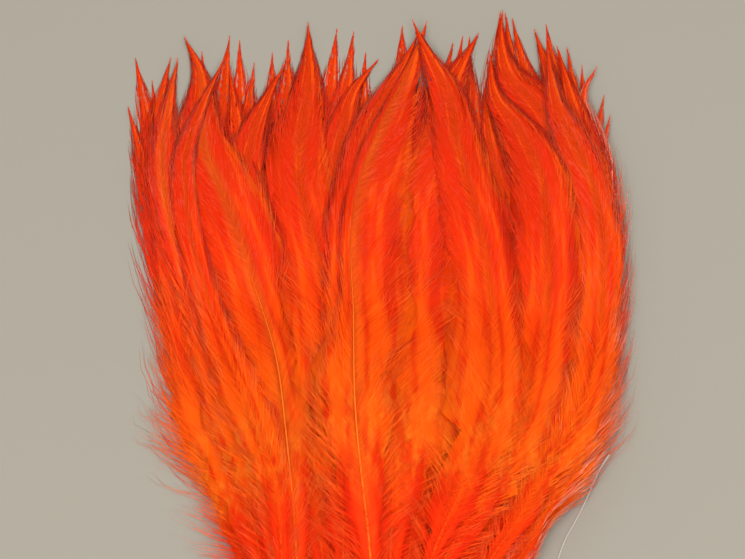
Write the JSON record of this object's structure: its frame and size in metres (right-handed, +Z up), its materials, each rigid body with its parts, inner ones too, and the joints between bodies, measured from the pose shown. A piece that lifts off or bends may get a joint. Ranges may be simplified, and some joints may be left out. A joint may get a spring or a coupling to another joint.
{
  "type": "strung rooster neck hackle",
  "caption": "Strip of long, pointed, orange-dyed rooster neck feathers sewn side by side by their quills, lying flat with the tips fanned out and a loose thread end.",
  "frame": {"origin": "middle of the bunch's bounding box in plan, on the surface it lies on; the free thread end isn't counted", "axes": "+Y from the quills to the tips of the feathers, +Z up from the surface, +X to the right as seen from above with the tips away"},
  "size_m": [0.1226, 0.1732, 0.0229],
  "materials": {
    "feather": "satin",
    "thread": "matte"
  },
  "bodies": {
    "root": {"feather_01": "feather", "feather_02": "feather", "feather_03": "feather", "feather_04": "feather", "feather_05": "feather", "feather_06": "feather", "feather_07": "feather", "feather_08": "feather", "feather_09": "feather", "feather_10": "feather", "feather_11": "feather", "feather_12": "feather", "feather_13": "feather", "feather_14": "feather", "feather_15": "feather", "feather_16": "feather", "feather_17": "feather", "feather_18": "feather", "feather_19": "feather", "feather_20": "feather", "feather_21": "feather", "feather_22": "feather", "feather_23": "feather", "feather_24": "feather", "feather_25": "feather", "feather_26": "feather", "feather_27": "feather", "feather_28": "feather", "feather_29": "feather", "feather_30": "feather", "feather_31": "feather", "feather_32": "feather", "feather_33": "feather", "feather_34": "feather", "feather_35": "feather", "feather_36": "feather", "feather_37": "feather", "feather_38": "feather", "feather_39": "feather", "feather_40": "feather", "feather_41": "feather", "feather_42": "feather", "feather_43": "feather", "feather_44": "feather", "feather_45": "feather", "feather_46": "feather", "feather_47": "feather", "feather_48": "feather", "string_upper": "thread", "string_lower": "thread", "string_knot_left": "thread", "string_knot_right": "thread", "string_tail": "thread"}
  },
  "joints": []
}
